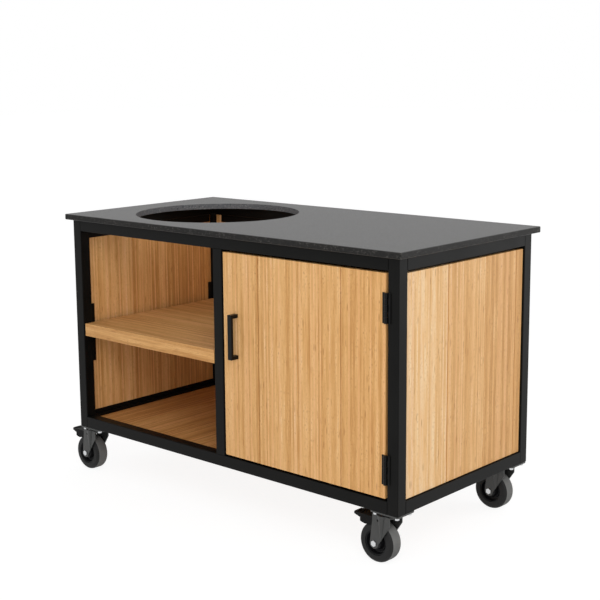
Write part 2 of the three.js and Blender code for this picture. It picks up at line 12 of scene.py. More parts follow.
import bmesh
import bpy
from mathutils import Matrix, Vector

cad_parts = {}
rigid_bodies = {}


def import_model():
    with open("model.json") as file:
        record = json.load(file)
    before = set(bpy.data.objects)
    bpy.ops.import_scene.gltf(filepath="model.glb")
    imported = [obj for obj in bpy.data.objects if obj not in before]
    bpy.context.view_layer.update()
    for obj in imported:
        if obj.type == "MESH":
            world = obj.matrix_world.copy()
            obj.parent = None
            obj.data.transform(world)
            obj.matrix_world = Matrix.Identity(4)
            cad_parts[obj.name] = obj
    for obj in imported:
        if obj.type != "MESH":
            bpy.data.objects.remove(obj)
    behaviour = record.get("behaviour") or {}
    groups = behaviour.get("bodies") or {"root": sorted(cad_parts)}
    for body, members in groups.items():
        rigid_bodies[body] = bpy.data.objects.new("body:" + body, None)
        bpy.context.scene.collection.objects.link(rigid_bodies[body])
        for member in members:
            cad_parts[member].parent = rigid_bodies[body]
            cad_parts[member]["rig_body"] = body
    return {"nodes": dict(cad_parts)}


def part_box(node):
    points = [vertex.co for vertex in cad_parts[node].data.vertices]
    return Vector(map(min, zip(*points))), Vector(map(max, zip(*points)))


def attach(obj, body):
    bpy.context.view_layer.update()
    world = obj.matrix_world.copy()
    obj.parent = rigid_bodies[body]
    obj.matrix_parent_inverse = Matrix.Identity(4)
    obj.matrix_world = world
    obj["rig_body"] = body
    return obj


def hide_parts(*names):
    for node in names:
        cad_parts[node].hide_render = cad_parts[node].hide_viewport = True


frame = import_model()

MM = 0.001
X, Y = 0, 1

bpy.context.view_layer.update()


# %% [markdown]
# ## Camera
# A camera is a place, a direction and a lens. These were worked out from the straight edges of
# the worktop, which meet at their vanishing points: the view is 42 degrees round to the right
# and 10 degrees down, through a long lens that keeps the table nearly undistorted.

# %% Camera
CAMERA_FROM_TABLE = Vector((2.8332, -3.1234, 1.4679))
CAMERA_TURN = math.radians(42.42)
CAMERA_DOWN = math.radians(9.80)
CAMERA_ROLL = math.radians(-0.53)
IMAGE_SIDE = 600
FOCAL_PIXELS = 1252.14
CENTRE_PIXEL = (285.99, 281.21)
SENSOR = 36.0

worktop_low, worktop_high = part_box("worktop")
table_middle = (worktop_low + worktop_high) / 2
table_middle.z = 0


def make_camera():
    """The camera that took the photo. Its lens shift puts the picture's centre where it was."""
    data = bpy.data.cameras.new("view")
    data.sensor_width = SENSOR
    data.lens = FOCAL_PIXELS * SENSOR / IMAGE_SIDE
    data.shift_x = (IMAGE_SIDE / 2 - CENTRE_PIXEL[0]) / IMAGE_SIDE
    data.shift_y = (CENTRE_PIXEL[1] - IMAGE_SIDE / 2) / IMAGE_SIDE
    camera = bpy.data.objects.new("view", data)
    bpy.context.scene.collection.objects.link(camera)
    camera.location = CAMERA_FROM_TABLE + table_middle
    # an unturned camera looks straight down: it is tipped up to the horizon less the down angle,
    # turned round to the right, and at last rolled about its own line of sight
    camera.rotation_mode = "XYZ"
    camera.rotation_euler = (math.pi / 2 - CAMERA_DOWN, 0, CAMERA_TURN)
    camera.rotation_euler.rotate_axis("Z", CAMERA_ROLL)
    bpy.context.scene.camera = camera
    return camera


view = make_camera()
print("lens:", round(view.data.lens, 1), "mm")


# %% [markdown]
# ## Colours and nodes
# A paint chart gives a colour in sRGB, but light is added in linear numbers, so one function
# turns a hex colour into a linear one. Another adds any node with its settings, its inputs and
# a ramp's stops in one line, which keeps a material as short as a recipe. What an input gets is
# a value, or the node that feeds it.

# %% Colour and node helpers
COLOUR_A, COLOUR_B, COLOUR_RESULT = 6, 7, 2  # the sockets of a Mix node that mixes two colours


def linear(hex_colour):
    """The linear colour of an sRGB hex value such as 'd9a86f'."""
    channels = [int(hex_colour[i:i + 2], 16) / 255 for i in (0, 2, 4)]
    lights = [c / 12.92 if c <= 0.04045 else ((c + 0.055) / 1.055) ** 2.4 for c in channels]
    return (*lights, 1.0)


def fill(made, inputs):
    """Sets a node's inputs to values, or links them to the node or the socket that feeds them."""
    for key, value in inputs.items():
        if isinstance(value, bpy.types.Node):
            value = value.outputs[0]
        if isinstance(value, bpy.types.NodeSocket):
            made.id_data.links.new(value, made.inputs[key])
        else:
            made.inputs[key].default_value = value


def node(tree, kind, inputs=None, stops=(), **settings):
    """A new node. A ramp also gets stops: pairs of a place and a hex colour or a grey."""
    made = tree.nodes.new("ShaderNode" + kind)
    for key, value in settings.items():
        setattr(made, key, value)
    fill(made, inputs or {})
    # a new ramp has two stops already
    for _ in stops[2:]:
        made.color_ramp.elements.new(1.0)
    for index, (place, colour) in enumerate(stops):
        element = made.color_ramp.elements[index]
        element.position = place
        element.color = linear(colour) if isinstance(colour, str) else (colour, colour, colour, 1.0)
    return made


def new_material(name):
    """A material with a plain Principled surface, ready to be filled in."""
    material = bpy.data.materials.new(name)
    material.use_nodes = True
    return material, material.node_tree, material.node_tree.nodes["Principled BSDF"]


print("a mid grey, 808080, is", round(linear("808080")[0], 3), "in linear light")


# %% [markdown]
# ## Laminated bamboo: its marks
# The boards are solid bamboo, glued up from strips about 6 mm wide and oiled. Up close the eye
# finds three kinds of mark: a short brown one wherever a strip crosses one of the cane's nodes,
# clusters of fine pores, and the glue lines between strips. Each has a function that gives how
# strong the mark is at a place, so that the wood can be darkened by it later. They share a few
# values: run and side are the place along and across the board, strip is side counted in
# strips, index is the strip's whole number, own is its random value from nought to one, and
# drift is a slow change along the strip.

# %% Bamboo marks
STRIP = 6.2 * MM
PORE_ACROSS = 2.6 * MM
PORE_ALONG = 11 * MM
CANE_NODE_SPACING = 290 * MM
CANE_NODE_LENGTH = 14 * MM
CANE_NODE_SCATTER = 17.0


def cane_nodes(tree, run, strip, index, own):
    """A short mark on some strips, at a height that is each strip's own."""
    scatter = node(tree, "Math", {0: own, 1: CANE_NODE_SCATTER}, operation="MULTIPLY")
    moved = node(tree, "Math", {0: run, 1: 1 / CANE_NODE_SPACING, 2: scatter}, operation="MULTIPLY_ADD")
    cell = node(tree, "Math", {0: moved}, operation="FRACT")
    centred = node(tree, "Math", {0: cell, 1: 0.5}, operation="SUBTRACT")
    distance = node(tree, "Math", {0: centred}, operation="ABSOLUTE")
    half = CANE_NODE_LENGTH / CANE_NODE_SPACING / 2
    mark = node(tree, "ValToRGB", {"Fac": distance}, stops=[(0, 1.0), (half, 0.75), (2 * half, 0.0)])
    # only some of them show, and only in the middle of the strip's width
    count = node(tree, "Math", {0: moved}, operation="FLOOR")
    lot_place = node(tree, "CombineXYZ", {"X": index, "Y": count})
    lot = node(tree, "TexWhiteNoise", {"Vector": lot_place}, noise_dimensions="2D")
    shown = node(tree, "ValToRGB", {"Fac": lot}, stops=[(0, 0.0), (0.45, 0.0), (1, 0.45)])
    within = node(tree, "Math", {0: strip}, operation="FRACT")
    middle_stops = [(0, 0.0), (0.25, 1.0), (0.7, 1.0), (0.95, 0.0)]
    middle = node(tree, "ValToRGB", {"Fac": within}, stops=middle_stops)
    flecks = node(tree, "Math", {0: mark, 1: shown}, operation="MULTIPLY")
    return node(tree, "Math", {0: flecks, 1: middle}, operation="MULTIPLY")


def pores(tree, run, side, drift):
    """Short dashes along the board that come in clusters."""
    across = node(tree, "Math", {0: side, 1: 1 / PORE_ACROSS}, operation="MULTIPLY")
    along = node(tree, "Math", {0: run, 1: 1 / PORE_ALONG}, operation="MULTIPLY")
    place = node(tree, "CombineXYZ", {"X": across, "Y": along})
    spots = node(tree, "TexNoise", {"Vector": place, "Scale": 1.0, "Detail": 1.0})
    dashes = node(tree, "ValToRGB", {"Fac": spots}, stops=[(0.56, 0.0), (0.74, 0.55)])
    clusters = node(tree, "ValToRGB", {"Fac": drift}, stops=[(0.42, 0.0), (0.62, 1.0)])
    return node(tree, "Math", {0: dashes, 1: clusters}, operation="MULTIPLY")


def glue_lines(tree, strip, own):
    """The joints beside a strip: most are a hair, some are a thin line."""
    within = node(tree, "Math", {0: strip}, operation="FRACT")
    edge_stops = [(0, 1.0), (0.13, 0.0), (0.87, 0.0), (1, 1.0)]
    edge = node(tree, "ValToRGB", {"Fac": within}, stops=edge_stops)
    open_stops = [(0, 0.6), (0.18, 0.6), (0.24, 0.1), (1, 0.1)]
    opened = node(tree, "ValToRGB", {"Fac": own}, stops=open_stops)
    return node(tree, "Math", {0: edge, 1: opened}, operation="MULTIPLY")


print("strips in a metre of width:", round(1 / STRIP))


# %% [markdown]
# ## Laminated bamboo: its tone
# From a step back the wood is a fine run of stripes along the board, each a little different in tone,
# with long fibres in them. Its tone is a sum of parts: random ones for the strip, the cane it came
# from, the fibres and a slow drift, and one that each board brings along as an attribute of its mesh:
# the board's own tone, with painted shade added on the boards inside the bay and on the tongues in the
# joints.

# %% Bamboo tone
CANE_STEP = 0.29  # cells of noise for each strip, so three or four neighbours share a tone
STRIP_SHARE, CANE_SHARE, FIBRE_SHARE, DRIFT_SHARE = 0.26, 0.12, 0.60, 0.54


def wood_tone(tree, index, own, fibres, drift):
    """How light the wood is at a place: the board's own tone with any painted shade, and all that
    varies within it.
    """
    band = node(tree, "Math", {0: index, 1: CANE_STEP}, operation="MULTIPLY")
    canes = node(tree, "TexNoise", {"W": band, "Scale": 1.0, "Detail": 1.0}, noise_dimensions="1D")
    board = node(tree, "Attribute", attribute_name="board_tone_and_shade", attribute_type="GEOMETRY")
    tone = board.outputs["Fac"]
    shares = ((own, STRIP_SHARE), (canes, CANE_SHARE), (fibres, FIBRE_SHARE), (drift, DRIFT_SHARE))
    for source, share in shares:
        tone = node(tree, "Math", {0: source, 1: share, 2: tone}, operation="MULTIPLY_ADD")
    return tone


print("the random parts reach", STRIP_SHARE + CANE_SHARE + FIBRE_SHARE + DRIFT_SHARE)


# %% [markdown]
# ## Laminated bamboo: the wood
# A ramp turns the tone into wood colours, and the redder strips, the marks and the glue stain
# it one after the other. The pattern needs to know which way the strips run, so one function
# makes the same wood for three directions. The oil leaves a soft shine, a little rougher where
# the fibres are open.

# %% Bamboo
FIBRE_ACROSS = 0.9 * MM
FIBRE_ALONG = 45 * MM
DRIFT_ALONG = 250 * MM
WOOD_TONES = [(0.16, "a37345"), (0.42, "c28a4e"), (0.62, "dba768"), (0.82, "edbe83"), (1, "f8d9ab")]
REDDER_STRIP = "e0a070"
MARK_BROWN = "94531f"
GLUE_BROWN = "8d5526"
BAMBOO_IOR = 1.48


def bamboo(name, along, across, through):
    """Oiled laminated bamboo: strips along one axis, side by side across it on every face."""
    material, tree, surface = new_material(name)
    place = node(tree, "TexCoord").outputs["Object"]
    axes = node(tree, "SeparateXYZ", {"Vector": place})
    run = axes.outputs[along]
    side = node(tree, "Math", {0: axes.outputs[across], 1: axes.outputs[through]}, operation="ADD")
    # the strip's number, and a random value of its own
    strip = node(tree, "Math", {0: side, 1: 1 / STRIP}, operation="MULTIPLY")
    index = node(tree, "Math", {0: strip}, operation="FLOOR")
    own = node(tree, "TexWhiteNoise", {"W": index}, noise_dimensions="1D")
    # long fibres: noise squeezed across the board and drawn out along it
    fibre_side = node(tree, "Math", {0: side, 1: 1 / FIBRE_ACROSS}, operation="MULTIPLY")
    fibre_run = node(tree, "Math", {0: run, 1: 1 / FIBRE_ALONG}, operation="MULTIPLY")
    fibre_place = node(tree, "CombineXYZ", {"X": fibre_side, "Y": fibre_run, "Z": own})
    fibres = node(tree, "TexNoise", {"Vector": fibre_place, "Scale": 1.0, "Detail": 3.0})
    # the tone of a strip drifts slowly along its length
    drift_run = node(tree, "Math", {0: run, 1: 1 / DRIFT_ALONG}, operation="MULTIPLY")
    drift_place = node(tree, "CombineXYZ", {"X": index, "Y": drift_run})
    drift = node(tree, "TexNoise", {"Vector": drift_place, "Scale": 1.0, "Detail": 1.0})
    # the plain wood, and then what stains it: redder strips, marks and glue
    tone = wood_tone(tree, index, own, fibres, drift)
    colour = node(tree, "ValToRGB", {"Fac": tone}, stops=WOOD_TONES)
    redder = node(tree, "ValToRGB", {"Fac": own}, stops=[(0.62, 0.0), (0.92, 0.30)])
    flecks = cane_nodes(tree, run, strip, index, own)
    marks = node(tree, "Math", {0: flecks, 1: pores(tree, run, side, drift)}, operation="MAXIMUM")
    glue = glue_lines(tree, strip, own)
    for share, stain in ((redder, REDDER_STRIP), (marks, MARK_BROWN), (glue, GLUE_BROWN)):
        stained = {"Factor": share, COLOUR_A: colour, COLOUR_B: linear(stain)}
        colour = node(tree, "Mix", stained, data_type="RGBA").outputs[COLOUR_RESULT]
    rough = node(tree, "ValToRGB", {"Fac": fibres}, stops=[(0.3, 0.42), (0.7, 0.56)])
    bump = node(tree, "Bump", {"Height": fibres, "Strength": 0.12, "Distance": 0.2 * MM})
    fill(surface, {"Base Color": colour, "Roughness": rough, "Normal": bump})
    fill(surface, {"IOR": BAMBOO_IOR, "Specular IOR Level": 0.3})
    return material


bamboo_upright = bamboo("bamboo_boards_upright", "Z", "X", "Y")
bamboo_lengthwise = bamboo("bamboo_shelf_boards", "X", "Y", "Z")
bamboo_crosswise = bamboo("bamboo_floor_boards", "Y", "X", "Z")
print("bamboo materials made")


# %% [markdown]
# ## Granite
# The slab is a dark grey granite with a honed, satin face. Its grains are about a millimetre
# across, so from a few metres they only make the grey lively. The wall of the cut-out is left
# as sawn: dry and paler, which is why it reads light although it faces away from the sky.

# %% Granite
GRAIN = 1.6 * MM
EDGE_GRAIN = 3.4 * MM  # drawn coarser than it is, so that it shows on the narrow edges
CLOUD = 90 * MM
CLOUD_SHARE = 0.35
TONE_RANGE = 1 + CLOUD_SHARE
GRANITE_IOR = 1.54


def granite(name, base, light, dark, roughness, specular=0.5, grain=GRAIN):
    """Granite: mineral grains in three greys over faint clouds."""
    material, tree, surface = new_material(name)
    place = node(tree, "TexCoord").outputs["Object"]
    grains = node(tree, "TexVoronoi", {"Vector": place, "Scale": 1 / grain}, feature="F1")
    grain_tone = node(tree, "SeparateXYZ", {"Vector": grains.outputs["Color"]})
    clouds = node(tree, "TexNoise", {"Vector": place, "Scale": 1 / CLOUD, "Detail": 4.0})
    tone = node(tree, "Math", {0: clouds, 1: CLOUD_SHARE, 2: grain_tone}, operation="MULTIPLY_ADD")
    share = node(tree, "Math", {0: tone, 1: 1 / TONE_RANGE}, operation="MULTIPLY")
    levels = [(0.12, dark), (0.32, base), (0.98, base), (1.22, light)]
    stops = [(level / TONE_RANGE, grey) for level, grey in levels]
    colour = node(tree, "ValToRGB", {"Fac": share}, stops=stops)
    rough_stops = [(0, roughness - 0.05), (1, roughness + 0.07)]
    rough = node(tree, "ValToRGB", {"Fac": grain_tone}, stops=rough_stops)
    bump = node(tree, "Bump", {"Height": grain_tone, "Strength": 0.05, "Distance": 0.1 * MM})
    fill(surface, {"Base Color": colour, "Roughness": rough, "Normal": bump})
    fill(surface, {"IOR": GRANITE_IOR, "Specular IOR Level": specular})
    return material


# honed: a satin face that takes a broad grey sheen from the sky
granite_top = granite("honed_granite", "272625", "3b3a38", "1a1919", 0.44)
# rubbed by hand: nearly black and dull, with a few light grains
granite_edge = granite(
    "rubbed_granite_edge", "1d1c1b", "4c4a47", "0c0c0b", 0.60, specular=0.18, grain=EDGE_GRAIN,
)
# sawn and left dry: pale grey and chalky, without a highlight
granite_sawn = granite(
    "sawn_granite_wall", "646669", "85878a", "3c3e41", 0.85, specular=0.1, grain=EDGE_GRAIN,
)
print("granite made")


# %% [markdown]
# ## Powder coat, plastic, rubber and zinc
# The frame is powder coated: the baked powder flows into a satin film with a faint orange peel,
# a few tenths of a millimetre from crest to crest, drawn coarser here so that it shows. The same
# recipe, with other numbers, gives the moulded wheel, the rubber tyre and the zinc on the bolts.

# %% Coated, moulded and plated surfaces
WEAR_PATCH = 111 * MM


def textured(name, colour, worn, roughness, peel, strength, metallic=0.0, specular=0.5):
    """One plain finish with a fine relief, a slow drift of tone and a slow drift of shine."""
    material, tree, surface = new_material(name)
    place = node(tree, "TexCoord").outputs["Object"]
    fine = node(tree, "TexNoise", {"Vector": place, "Scale": 1 / peel, "Detail": 2.0})
    slow = node(tree, "TexNoise", {"Vector": place, "Scale": 1 / WEAR_PATCH, "Detail": 3.0})
    tone = node(tree, "ValToRGB", {"Fac": slow}, stops=[(0.35, colour), (0.7, worn)])
    rough_stops = [(0.3, roughness - 0.04), (0.7, roughness + 0.05)]
    rough = node(tree, "ValToRGB", {"Fac": slow}, stops=rough_stops)
    bump = node(tree, "Bump", {"Height": fine, "Strength": strength, "Distance": peel / 4})
    fill(surface, {"Base Color": tone, "Roughness": rough, "Normal": bump})
    fill(surface, {"Metallic": metallic, "Specular IOR Level": specular})
    return material


# polyester powder on the tubes: deep satin black, whose peel breaks up what it mirrors
powder_black = textured("black_powder_coat", "0a0a09", "0f0f0e", 0.42, 0.9 * MM, 0.10, specular=0.1)
# the casters' coat on pressed steel: dark grey with a metallic glint on its bends
powder_grey = textured("dark_grey_caster_coat", "343534", "40403f", 0.36, 0.8 * MM, 0.08, metallic=0.2)
# stoved enamel on handle and hinges: smoother, so that its edges draw a finer light
enamel_black = textured("black_hardware_coat", "0a0a0a", "101010", 0.34, 0.8 * MM, 0.08, specular=0.14)
# the pedals are dipped: a dull, slightly rough black
pedal_black = textured("black_pedal_coat", "090909", "0f0f0f", 0.6, 0.8 * MM, 0.15, specular=0.12)
# nylon as it leaves the mould: a cool black with a soft sheen
wheel_moulding = textured("moulded_black_nylon", "0e0e10", "161618", 0.45, 0.6 * MM, 0.10, specular=0.2)
# clean rubber on the tyre's sides: charcoal that hardly shines
tyre_rubber = textured("dark_tyre_rubber", "191919", "212121", 0.55, 0.5 * MM, 0.15, specular=0.2)
# the tread is paler, a flat mid grey: dust on it, and a painted highlight where the lamps fall on its
# crown
tread_dust_and_highlight = textured("tread_dust_and_painted_highlight", "626261", "7a7a78", 0.8, 1.2 * MM, 0.25, specular=0.2)
# zinc from the plating bath: bright, with sharp small reflections
bright_zinc = textured("bright_zinc_plate", "d8d9da", "c6c8ca", 0.24, 0.5 * MM, 0.06, metallic=1.0)
print("finishes made")


# %% [markdown]
# ## Working on a mesh
# Real edges are eased: a tube has a rounded corner and a board a small chamfer, and it is those
# narrow faces that catch the light. An operator acts on all that is selected, so each helper
# first selects its object alone. A bevel rounds the edges, and weighted normals keep the flats
# between them flat to the eye.

# %% Bevels and shading
EDGE_ANGLE = math.radians(30)


def only(obj):
    """Selects one object alone and makes it the active one."""
    bpy.ops.object.select_all(action="DESELECT")
    obj.select_set(True)
    bpy.context.view_layer.objects.active = obj


def apply_modifier(obj, kind, **settings):
    """Adds one modifier and applies it at once."""
    only(obj)
    modifier = obj.modifiers.new(kind.lower(), kind)
    for key, value in settings.items():
        setattr(modifier, key, value)
    bpy.ops.object.modifier_apply(modifier=modifier.name)


def round_edges(obj, width, segments=2):
    """Rounds every edge of an object at which it turns by more than the edge angle."""
    apply_modifier(
        obj, "BEVEL", width=width, segments=segments, limit_method="ANGLE", angle_limit=EDGE_ANGLE,
    )


def shade_even(obj, degrees):
    """Smooth shading up to an angle, with normals that follow the large faces, so flats stay flat."""
    only(obj)
    bpy.ops.object.shade_smooth_by_angle(angle=math.radians(degrees))
    apply_modifier(obj, "WEIGHTED_NORMAL", mode="FACE_AREA", weight=80, keep_sharp=True)


print("edges that turn more than", round(math.degrees(EDGE_ANGLE)), "degrees get rounded")


# %% [markdown]
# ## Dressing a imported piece
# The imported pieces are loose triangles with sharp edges. A copy of one has its doubles merged
# and its flat triangles dissolved into whole faces, and then a bevel rounds the edges that
# remain. Bent sheet steel is left in its triangles, because a large face that isn't quite flat
# would twist when its corners are cut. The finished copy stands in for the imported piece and
# rides on the same body, so that it moves when a joint does.

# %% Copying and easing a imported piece
SAME_PLACE = 0.02 * MM
FLAT_ANGLE = math.radians(0.5)


def body_of(node_name):
    """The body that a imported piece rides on."""
    return frame["nodes"][node_name]["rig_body"]


def finish_piece(obj, name, body, materials=(), node_names=()):
    """Names a piece, lets it ride on its body, and gives it materials unless it brings its own."""
    obj.name = name
    obj.data.name = name
    if materials:
        obj.data.materials.clear()
    for material in materials:
        obj.data.materials.append(material)
    if node_names:
        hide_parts(*node_names)
    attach(obj, body)


def merged_copy(node_name, whole_faces):
    """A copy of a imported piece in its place, its doubles merged, with or without whole flats."""
    obj = bpy.data.objects.new(node_name + "_copy", frame["nodes"][node_name].data.copy())
    bpy.context.scene.collection.objects.link(obj)
    only(obj)
    bpy.ops.object.mode_set(mode="EDIT")
    bpy.ops.mesh.select_all(action="SELECT")
    bpy.ops.mesh.remove_doubles(threshold=SAME_PLACE)
    if whole_faces:
        bpy.ops.mesh.dissolve_limited(angle_limit=FLAT_ANGLE)
    bpy.ops.mesh.customdata_custom_splitnormals_clear()
    bpy.ops.object.mode_set(mode="OBJECT")
    return obj


def eased(node_name, name, material, width, segments=2, smooth=40, whole_faces=True):
    """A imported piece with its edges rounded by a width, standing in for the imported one."""
    obj = merged_copy(node_name, whole_faces)
    round_edges(obj, width, segments)
    shade_even(obj, smooth)
    finish_piece(obj, name, body_of(node_name), [material], [node_name])


print("faces in the packed worktop:", len(frame["nodes"]["worktop"].data.polygons))


# %% [markdown]
# ## The steel frame
# Square tube is rolled from strip, so its long edges are round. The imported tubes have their
# corners as one flat chamfer, and a small bevel on both of its edges turns that into a round.

# %% Frame tubes, ledges and brackets
TUBE_ROUND = 1.1 * MM
STEEL_EDGE = 0.6 * MM

for node_name in sorted(frame["nodes"]):
    if node_name.startswith(("post_", "rail_")):
        eased(node_name, node_name + "_tube", powder_black, TUBE_ROUND)
    elif node_name.startswith(("floor_ledge", "shelf_bracket")):
        eased(node_name, node_name + "_steel", powder_black, STEEL_EDGE)
print("frame dressed")


# %% [markdown]
# ## Boards
# Each panel is glued from boards with a small chamfer on their long edges, so two neighbours
# make a vee groove. Modelling the boards one by one gives each its own edges and its own tone.
# A board starts as a cube of its size, its edges are bevelled, and the boards are joined. A narrow
# tongue of the same make lies deep in each joint, as on real boards, so that no light comes through,
# and it is drawn darker as painted shade in the groove. The visible side panel stands a little clear of
# its tubes.

# %% Boarded panels
BOARD_EDGE = 0.9 * MM
JOINT = 1.4 * MM
GROOVE_DEPTH = 5 * MM
TONGUE_REACH = 6 * MM
# painted shade: the tongues deep in the joints are drawn darker than the wood
TONGUE_SHADE_TONE = -0.5
PANEL_FRONT_GAP = 5 * MM
PANEL_HEAD_GAP = 5.5 * MM
PANEL_FOOT_GAP = 2.5 * MM


def block(low, high, edge, segments=2):
    """A cube stretched between two corners, with rounded edges."""
    bpy.ops.object.select_all(action="DESELECT")
    bpy.ops.mesh.primitive_cube_add(size=1, location=(low + high) / 2, scale=high - low)
    obj = bpy.context.object
    bpy.ops.object.transform_apply(location=True, rotation=True, scale=True)
    round_edges(obj, edge, segments)
    return obj


def joined(pieces):
    """Several objects made into one."""
    bpy.ops.object.select_all(action="DESELECT")
    for piece in pieces:
        piece.select_set(True)
    bpy.context.view_layer.objects.active = pieces[0]
    bpy.ops.object.join()
    return bpy.context.object


def one_board(low, high, tone):
    """One board between two corners, with chamfered edges and its own tone, which holds painted shade
    on the boards that sit in shade.
    """
    board = block(low, high, BOARD_EDGE)
    attribute = board.data.attributes.new("board_tone_and_shade", "FLOAT", "POINT")
    attribute.data.foreach_set("value", [tone] * len(board.data.vertices))
    return board


def boarded(node_name, axis, widths, tones, material, joints=None, front=0.0, foot=0.0, head=0.0):
    """A panel of boards side by side along an axis, with gaps in front, at its foot and its head."""
    low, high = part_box(node_name)
    low.z += foot
    high.z -= head
    span = high[axis] - low[axis]
    groove = Vector((GROOVE_DEPTH, GROOVE_DEPTH, GROOVE_DEPTH))
    # half of a joint comes off each of its two boards
    halves = [joint / 2 for joint in joints or [JOINT] * (len(widths) - 1)]
    start = low[axis]
    boards = []
    for width, tone, before, after in zip(widths, tones, [front] + halves, halves + [0.0]):
        end = start + span * width / sum(widths)
        board_low, board_high = low.copy(), high.copy()
        board_low[axis] = start + before
        board_high[axis] = end - after
        boards.append(one_board(board_low, board_high, tone))
        if after:
            # a tongue deep in the joint, drawn darker as painted shade in the groove
            tongue_low, tongue_high = low + groove, high - groove
            tongue_low[axis] = end - TONGUE_REACH
            tongue_high[axis] = end + TONGUE_REACH
            boards.append(one_board(tongue_low, tongue_high, TONGUE_SHADE_TONE))
        start = end
    panel = joined(boards)
    shade_even(panel, degrees=30)
    finish_piece(panel, node_name + "_boards", body_of(node_name), [material], [node_name])


print("a groove is", round(GROOVE_DEPTH / MM, 1), "mm deep")


# %% [markdown]
# ## Panels, floor and shelf
# Where the photo shows the joints, the boards have their measured widths, in millimetres, and their
# joints their own gaps. The other side and the divider are cut like the side that shows, and the rear
# and the floor have equal boards. A board's tone is its lightness against the plain wood: the right
# side's first board stands out light. The left wall's boards darken towards the back, and the floor and
# shelf are darker: this is painted shade inside the open bay.

# %% Panels, floor and shelf
DOOR_WIDTHS = (152, 168, 168, 168)
DOOR_JOINTS = (2.2 * MM, 1.4 * MM, 2.8 * MM)
DOOR_TONES = (-0.10, -0.06, -0.08, -0.12)
SIDE_WIDTHS = (208, 198, 172, 38)
RIGHT_JOINTS = (4.0 * MM, 1.4 * MM, 2.2 * MM)
RIGHT_TONES = (0.10, -0.03, -0.12, -0.16)
# painted shade: the left wall's boards are drawn darker towards the back of the open bay
LEFT_TONES_WITH_SHADE = (-0.10, -0.23, -0.34, -0.36)
DIVIDER_TONES = (-0.03, -0.06, -0.01, -0.04)
REAR_WIDTHS = (1, 1, 1, 1)
REAR_LEFT_TONES = (-0.05, 0.0, -0.08, -0.03)
REAR_RIGHT_TONES = (-0.02, -0.07, 0.01, -0.05)
# random board tones, all lowered as painted shade: the floor lies deep in the lower bay
FLOOR_TONES_WITH_SHADE = (-0.24, -0.20, -0.26, -0.21, -0.23, -0.18, -0.25, -0.20)
FLOOR_WIDTHS = (1,) * len(FLOOR_TONES_WITH_SHADE)
# painted shade: the shelf boards inside the bay are drawn darker
SHELF_FRONT_SHADE_TONE = -0.18
SHELF_REAR_SHADE_TONE = -0.20

boarded("door_panel", X, DOOR_WIDTHS, DOOR_TONES, bamboo_upright, DOOR_JOINTS)
boarded(
    "panel_right", Y, SIDE_WIDTHS, RIGHT_TONES, bamboo_upright, RIGHT_JOINTS,
    front=PANEL_FRONT_GAP, foot=PANEL_FOOT_GAP, head=PANEL_HEAD_GAP,
)
boarded("panel_left", Y, SIDE_WIDTHS, LEFT_TONES_WITH_SHADE, bamboo_upright)
boarded("panel_divider", Y, SIDE_WIDTHS, DIVIDER_TONES, bamboo_upright)
boarded("panel_rear_left", X, REAR_WIDTHS, REAR_LEFT_TONES, bamboo_upright)
boarded("panel_rear_right", X, REAR_WIDTHS, REAR_RIGHT_TONES, bamboo_upright)
boarded("floor_panel", X, FLOOR_WIDTHS, FLOOR_TONES_WITH_SHADE, bamboo_crosswise)
boarded("shelf_board_front", Y, (1,), (SHELF_FRONT_SHADE_TONE,), bamboo_lengthwise)
boarded("shelf_board_rear", Y, (1,), (SHELF_REAR_SHADE_TONE,), bamboo_lengthwise)
print("boards made")


# %% [markdown]
# ## The stone worktop
# A slab is sawn to size, the round hole is cut with a core drill and a polisher eases the
# edges. The mesh follows the same order: a cube of the slab's size with its outer edges
# rounded, a boolean with a round cutter of many sides, and a smaller bevel on the hole's rim.

# %% Worktop
SLAB_EDGE = 3.0 * MM
RIM_EDGE = 1.4 * MM
HOLE_SIDES = 192
HOLE_RADIUS = 290 * MM
HOLE_FROM_LEFT = 406 * MM
HOLE_FROM_FRONT = 366 * MM
HOLE_TOLERANCE = 0.1 * MM

slab_thickness = worktop_high.z - worktop_low.z
hole_centre = worktop_low + Vector((HOLE_FROM_LEFT, HOLE_FROM_FRONT, slab_thickness))


def drum(sides, radius, depth, place, turn=(0, 0, 0)):
    """A cylinder about a place, upright unless it is turned."""
    bpy.ops.object.select_all(action="DESELECT")
    bpy.ops.mesh.primitive_cylinder_add(
        vertices=sides, radius=radius, depth=depth, location=place, rotation=turn,
    )
    obj = bpy.context.object
    bpy.ops.object.transform_apply(location=True, rotation=True, scale=True)
    return obj


def ease_hole_rim(slab):
    """Bevels the two round edges of the cut-out, found by their distance from its middle."""
    only(slab)
    bpy.ops.object.mode_set(mode="EDIT")
    bpy.ops.mesh.select_all(action="DESELECT")
    bpy.ops.mesh.select_mode(type="EDGE")
    mesh = bmesh.from_edit_mesh(slab.data)
    for edge in mesh.edges:
        off = [abs((end.co - hole_centre).xy.length - HOLE_RADIUS) for end in edge.verts]
        rise = abs(edge.verts[0].co.z - edge.verts[1].co.z)
        edge.select_set(max(*off, rise) < HOLE_TOLERANCE)
    bmesh.update_edit_mesh(slab.data)
    bpy.ops.mesh.bevel(offset=RIM_EDGE, segments=2)
    bpy.ops.mesh.select_mode(type="VERT")
    bpy.ops.object.mode_set(mode="OBJECT")


def make_worktop():
    """The slab with its cut-out, all edges eased."""
    slab = block(worktop_low, worktop_high, SLAB_EDGE, segments=3)
    # the cutter stands out well above and below the slab
    cutter = drum(HOLE_SIDES, HOLE_RADIUS, 4 * slab_thickness, hole_centre)
    apply_modifier(slab, "BOOLEAN", operation="DIFFERENCE", solver="EXACT", object=cutter)
    bpy.data.objects.remove(cutter)
    ease_hole_rim(slab)
    shade_even(slab, degrees=40)
    return slab


slab = make_worktop()
print("worktop faces:", len(slab.data.polygons))


